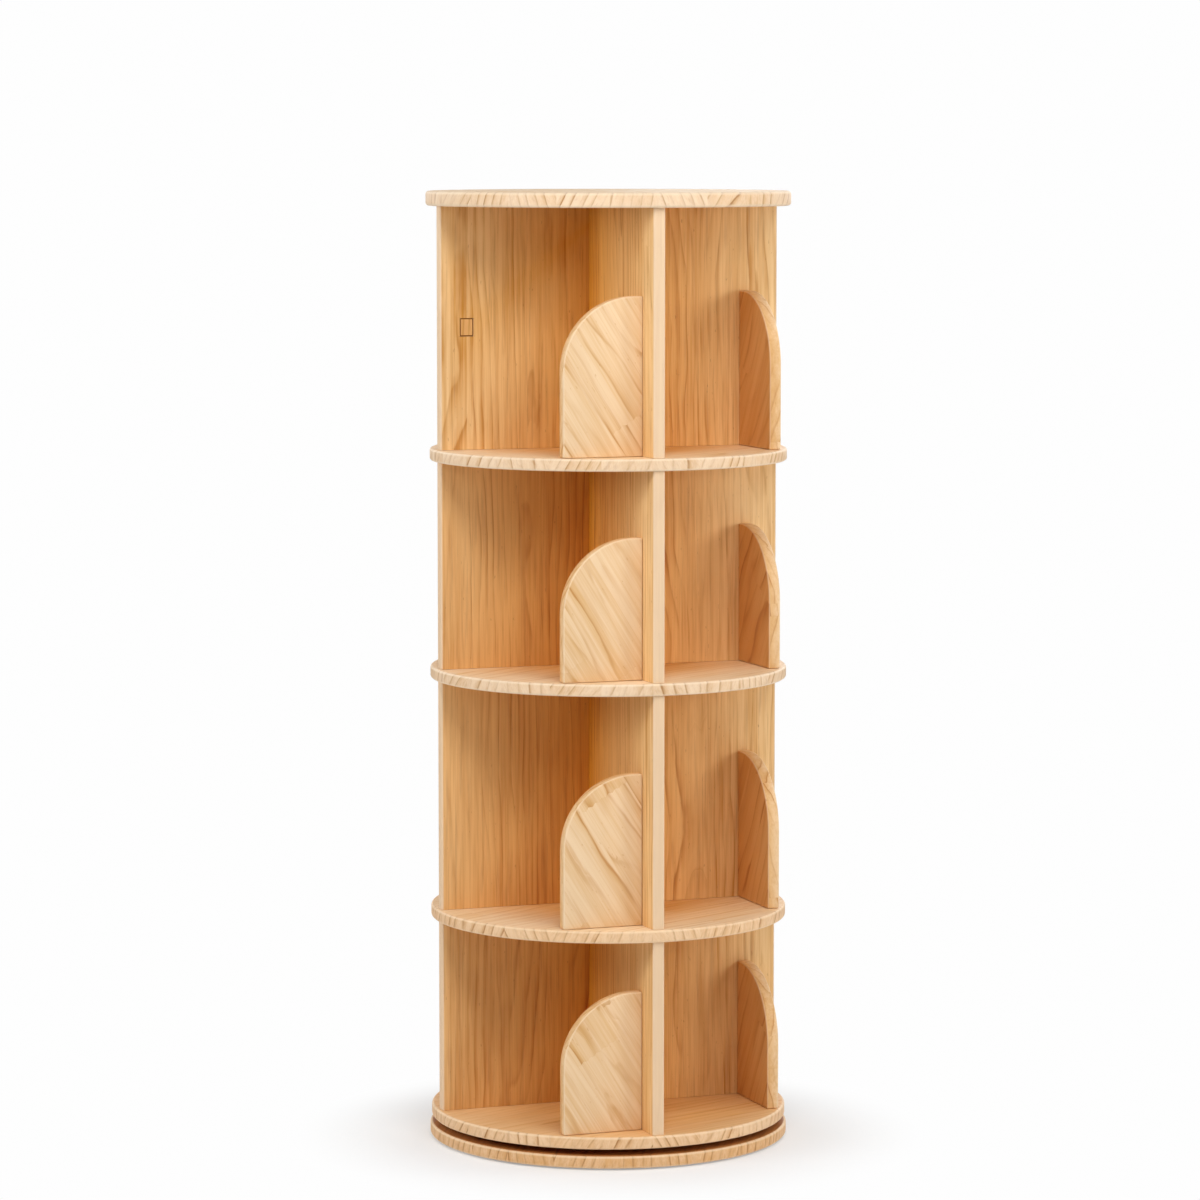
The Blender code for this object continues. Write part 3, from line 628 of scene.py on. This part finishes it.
# Painted shade: the wood is painted darker and warmer inwards of the outer edge, more deeply
# in the lower tiers, and there the most on the left boards.
INWARD_SHADE = 1.5
LEFT_BOARD_SHADE = 0.42
DIVIDER_COLOURS = {"pale": (0.95, 0.67, 0.335), "warm": (0.64, 0.30, 0.045),
                   "line": (0.36, 0.12, 0.012), "sanded": (0.82, 0.61, 0.415), "edge": 0.75}
DIVIDER_RINGS = {"stave_width": 0.078, "stave_length": 9.0, "ring_spacing": 0.0085,
                 "heart_side": 0.05, "heart_depth": 0.035, "line_strength": 0.3,
                 "unevenness": 3.0, "streak": 1.15, "dashes": 0.3, "tone": 0.27}
top_divider_pine = pine("pine, top dividers, lighter painted shade", **DIVIDER_COLOURS, **DIVIDER_RINGS,
                        shade_tint=(0.82, 0.54, 0.11))
divider_pine = pine("pine, lower dividers, deeper painted shade", **DIVIDER_COLOURS, **DIVIDER_RINGS, shade_tint=(0.79, 0.46, 0.06))


def raised(shape, corners, run):
    """Carries a flat outline along a run, into a closed solid."""
    face = shape.faces.new([shape.verts.new(corner) for corner in corners])
    grown = bmesh.ops.extrude_face_region(shape, geom=[face])
    moved = [item for item in grown["geom"] if isinstance(item, bmesh.types.BMVert)]
    bmesh.ops.translate(shape, verts=moved, vec=run)


def divider_plan(far, near, outer):
    """Plan of the front divider, with its rounded outer edge and the tongue on its inner end."""
    points = []
    for centre, start in ((far + DIVIDER_ROUND, math.pi), (near - DIVIDER_ROUND, 1.5 * math.pi)):
        for step in range(ROUNDING_STEPS + 1):
            angle = start + 0.5 * math.pi * step / ROUNDING_STEPS
            points.append((centre + DIVIDER_ROUND * math.cos(angle),
                           outer + DIVIDER_ROUND + DIVIDER_ROUND * math.sin(angle)))
    middle = (far + near) / 2
    shoulder = -near - SEAT
    tip = -near + TONGUE_DEPTH
    tongue_near = middle + TONGUE_WIDTH / 2
    tongue_far = middle - TONGUE_WIDTH / 2
    points += [(near, shoulder), (tongue_near, shoulder), (tongue_near, tip)]
    points += [(tongue_far, tip), (tongue_far, shoulder), (far, shoulder)]
    return points


def upright_timber(board, foot):
    """Place in a board whose grain runs up from its foot, and whose thickness runs along X."""
    return lambda point, face: (point.y + BOARDS_APART * board, point.z - foot, point.x)


front_low, front_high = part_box("divider_top_front")
patch_low, patch_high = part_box("divider_patch")
board = FIRST_UPRIGHT
for tier, below, above in TIERS:
    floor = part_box(below)[1].z + SEAT
    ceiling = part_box(above)[0].z - SEAT
    for quarter, side in enumerate(QUARTERS):
        node = "divider_%s_%s" % (tier, side)
        shape = bmesh.new()
        plan = divider_plan(front_low.x, front_high.x, front_low.y)
        raised(shape, [(x, y, floor) for x, y in plan], (0, 0, ceiling - floor))
        divider = shaped(node + "_board", shape)
        turn = Matrix.Rotation(0.5 * math.pi * quarter, 4, "Z")
        if tier == "top" and side == "left":
            recess = bmesh.new()
            bmesh.ops.create_cube(recess, size=1.0)
            play = Vector((SEAT, SEAT, SEAT))
            size = patch_high - patch_low + 2 * play
            spot = Matrix.Translation((patch_low + patch_high) / 2) @ Matrix.Diagonal((*size, 1))
            bmesh.ops.transform(recess, matrix=turn.inverted() @ spot, verts=recess.verts)
            recess_block = shaped("patch_recess", recess)
            cut_out(divider, recess_block)
        divider.data.materials.append(top_divider_pine if tier == "top" else divider_pine)
        length = -front_low.y
        # Painted shade, growing inwards from the outer edge, with more on the lower tiers' left boards.
        left_shade = LEFT_BOARD_SHADE if side == "left" and tier != "top" else 0.0
        laid(divider, upright_timber(board, floor), Vector((1, 0, 0)),
             lambda point: INWARD_SHADE * (1 + point.y / length) + left_shade)
        divider.data.transform(turn)
        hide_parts(node)
        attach(divider, "tower")
        board += 1


# Patch
# A small block is let into the face of the top tier's left divider, flush with it, where a
# knot was cut out. Its edges are chamfered, which leaves a dark line round it.

PATCH_CHAMFER = 0.0013
PATCH_STAVE = 0.05

patch_pine = pine("pine, patch", pale=(0.83, 0.50, 0.20), warm=(0.60, 0.28, 0.065),
                  line=(0.25, 0.08, 0.008), sanded=(0.30, 0.125, 0.035), edge=0.9,
                  stave_width=PATCH_STAVE, stave_length=9.0, ring_spacing=0.006, heart_side=0.06,
                  heart_depth=0.03, line_strength=0.3, streak=1.0, tone=0.45)
shape = bmesh.new()
bmesh.ops.create_cube(shape, size=1.0)
centre = (patch_low + patch_high) / 2
spot = Matrix.Translation(centre) @ Matrix.Diagonal((*(patch_high - patch_low), 1))
bmesh.ops.transform(shape, matrix=spot, verts=shape.verts)
bmesh.ops.bevel(shape, geom=shape.edges, offset=PATCH_CHAMFER, segments=1, affect="EDGES")
patch = shaped("let_in_patch", shape)
patch.data.materials.append(patch_pine)
laid(patch, lambda point, face: (point.x - centre.x + PATCH_STAVE / 2, point.z, point.y),
     Vector((0, 1, 0)))
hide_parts("divider_patch")
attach(patch, "tower")


# Guards
# A guard stands square to each divider, doweled to it and to the shelf below. Its upper outer
# corner is cut to a quarter round, its edges are eased, and its grain runs aslant.

GUARD_EASE = 0.0018
GUARD_EASE_STEPS = 4
GUARD_EASED_FROM = 30
GUARD_SHARP = 60
GUARD_FLAT = 0.011
GUARD_DROP = 0.090
GUARD_ARC_STEPS = 40
GUARD_SLANT = 58
GUARD_SLANT_STEP = 3

# Painted shade: each guard is painted darker and warmer through its thickness, the most on its inner
# face.
guard_pine = pine("pine, guards", pale=(0.87, 0.64, 0.40), warm=(0.715, 0.42, 0.155),
                  line=(0.54, 0.23, 0.042), sanded=(0.90, 0.70, 0.48), edge=0.0,
                  shade_tint=(0.90, 0.72, 0.43), stave_width=0.066, stave_length=0.21,
                  ring_spacing=0.0105, heart_side=0.07, heart_depth=0.035, waver=0.012,
                  line_strength=1.0, unevenness=1.8, streak=1.9, dashes=0.16, tone=0.26)


def slanted_timber(board, slant):
    """Place in a guard, whose grain falls aslant from its outer edge to the divider."""
    run = Vector((math.cos(slant), 0, -math.sin(slant)))
    square = Vector((math.sin(slant), 0, math.cos(slant)))
    return lambda point, face: (point.dot(square) + BOARDS_APART * board, point.dot(run), point.y)


for tier, below, above in TIERS:
    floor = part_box(below)[1].z + SEAT
    low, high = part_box("guard_%s_front" % tier)
    inner = front_low.x - SEAT
    reach = inner - GUARD_FLAT - low.x
    for quarter, side in enumerate(QUARTERS):
        node = "guard_%s_%s" % (tier, side)
        corners = [(inner, floor), (inner, high.z)]
        for step in range(GUARD_ARC_STEPS + 1):
            angle = 0.5 * math.pi * step / GUARD_ARC_STEPS
            corners.append((inner - GUARD_FLAT - reach * math.sin(angle),
                            high.z - GUARD_DROP + GUARD_DROP * math.cos(angle)))
        corners.append((low.x, floor))
        shape = bmesh.new()
        raised(shape, [(x, low.y, z) for x, z in corners], (0, high.y - low.y, 0))
        eased_from = math.radians(GUARD_EASED_FROM)
        sharp = [edge for edge in shape.edges if edge.calc_face_angle(0) > eased_from]
        bmesh.ops.bevel(shape, geom=sharp, offset=GUARD_EASE, segments=GUARD_EASE_STEPS,
                        profile=0.5, affect="EDGES")
        guard = shaped(node + "_board", shape, sharp=GUARD_SHARP)
        guard.data.materials.append(guard_pine)
        timber = slanted_timber(board, math.radians(GUARD_SLANT + GUARD_SLANT_STEP * quarter))
        # Painted shade runs through the thickness, from none on the face towards the outside to full on
        # the face inside the compartment.
        laid(guard, timber, Vector((0, 1, 0)), lambda point: (point.y - low.y) / (high.y - low.y))
        guard.data.transform(Matrix.Rotation(0.5 * math.pi * quarter, 4, "Z"))
        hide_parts(node)
        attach(guard, "tower")
        board += 1


# Top disc
# The top is a thicker round board, 18 mm, that stands a little proud of the shelves. Its
# rim is rounded over more, and it is doweled down on the top tier's dividers.

TOP_ROUND = 0.004
TOP_GRAIN = math.radians(75)

low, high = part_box("top_disc")
profile = rounded_rim(high.x, low.z, high.z, TOP_ROUND, ROUNDING_STEPS)
top = turned("round_top_board", profile, DISC_SIDES)
rimmed(top, pale_rim_pine)
laid(top, disc_timber(len(SHELVES) + 1, TOP_GRAIN, low, high), Vector((0, 0, 1)))
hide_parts("top_disc")
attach(top, "tower")


# Studio
# The bookcase stands on a plain white floor, with large soft lamps all round it, and is seen
# from the front left, from a little above its top.

CAMERA_TURN = math.radians(20.38)
CAMERA_DISTANCE = 5.6
CAMERA_HEIGHT = 1.2383
CAMERA_PITCH = math.radians(5.786)
CAMERA_YAW = math.radians(-0.105)
CAMERA_LENS = 135.94
FLOOR_REACH = 40
SHADOW_FULL = 0.2
SHADOW_GONE = 0.40
SHADOW_WHITE = 0.32
WHITE = (0.99, 0.99, 0.99, 1)
SOFT_LIGHT = 0.11

shape = bmesh.new()
bmesh.ops.create_grid(shape, x_segments=1, y_segments=1, size=FLOOR_REACH)
floor = shaped("studio_floor", shape)
floor_paint, tree, shader = finish_of("studio floor", 0.9)
shader.inputs["Base Color"].default_value = (0.90, 0.90, 0.90, 1)
shader.inputs["Specular IOR Level"].default_value = 0.0
white = added(tree, "ShaderNodeEmission", WHITE, 1.0)
place = added(tree, "ShaderNodeTexCoord").outputs["Object"]
far = added(tree, "ShaderNodeVectorMath", place, operation="LENGTH").outputs["Value"]
away = added(tree, "ShaderNodeMapRange", far, SHADOW_FULL, SHADOW_GONE, SHADOW_WHITE, 1.0,
             interpolation_type="SMOOTHSTEP").outputs[0]
seen = worked(tree, "MULTIPLY", away, added(tree, "ShaderNodeLightPath").outputs["Is Camera Ray"])
lifted = added(tree, "ShaderNodeMixShader", seen, shader.outputs[0], white.outputs[0])
tree.links.new(lifted.outputs[0], tree.nodes["Material Output"].inputs["Surface"])
floor.data.materials.append(floor_paint)

world = bpy.data.worlds.new("studio")
world.use_nodes = True
bpy.context.scene.world = world
tree = world.node_tree
soft = tree.nodes["Background"]
soft.inputs["Color"].default_value = (1, 1, 1, 1)
soft.inputs["Strength"].default_value = SOFT_LIGHT
white = added(tree, "ShaderNodeBackground", WHITE, 1.0)
rays = added(tree, "ShaderNodeLightPath").outputs
mirrored = worked(tree, "MAXIMUM", rays["Is Glossy Ray"], rays["Is Transmission Ray"])
seen = worked(tree, "MAXIMUM", rays["Is Camera Ray"], mirrored)
either = added(tree, "ShaderNodeMixShader", seen, soft.outputs[0], white.outputs[0])
tree.links.new(either.outputs[0], tree.nodes["World Output"].inputs["Surface"])

LAMP_AIM = Vector((0, 0, 0.7))
LAMP_DISTANCE = 3.0
# Each lamp's name, its turn to the right and rise in degrees, its width and its power
LAMPS = (("left_lamp", -72, 30, 1.0, 14.0), ("side_lamp", -87, 14, 0.9, 22.5),
         ("high_lamp", -20, 48, 1.1, 28.0), ("front_lamp", 4, 32, 1.2, 22.5),
         ("right_lamp", 35, 6, 1.1, 18.5), ("far_right_lamp", 75, 20, 1.1, 20.0),
         ("back_left_lamp", -150, 22, 2.0, 19.0), ("back_right_lamp", 140, 18, 2.0, 17.0))
for name, turn, rise, size, power in LAMPS:
    lamp = bpy.data.lights.new(name, "AREA")
    lamp.shape = "DISK"
    lamp.size = size
    lamp.energy = power
    stand = bpy.data.objects.new(name, lamp)
    bpy.context.scene.collection.objects.link(stand)
    turn = math.radians(turn)
    rise = math.radians(rise)
    away = Vector((math.sin(turn) * math.cos(rise), -math.cos(turn) * math.cos(rise), math.sin(rise)))
    stand.location = LAMP_AIM + LAMP_DISTANCE * away
    stand.rotation_mode = "QUATERNION"
    stand.rotation_quaternion = away.to_track_quat("Z", "Y")

camera = bpy.data.objects.new("camera", bpy.data.cameras.new("camera"))
bpy.context.scene.collection.objects.link(camera)
camera.location = (-CAMERA_DISTANCE * math.sin(CAMERA_TURN),
                   -CAMERA_DISTANCE * math.cos(CAMERA_TURN), CAMERA_HEIGHT)
camera.rotation_euler = (0.5 * math.pi - CAMERA_PITCH, 0, -(CAMERA_TURN + CAMERA_YAW))
camera.data.sensor_width = 36
camera.data.lens = CAMERA_LENS
bpy.context.scene.camera = camera
bpy.context.scene.view_settings.view_transform = "Standard"
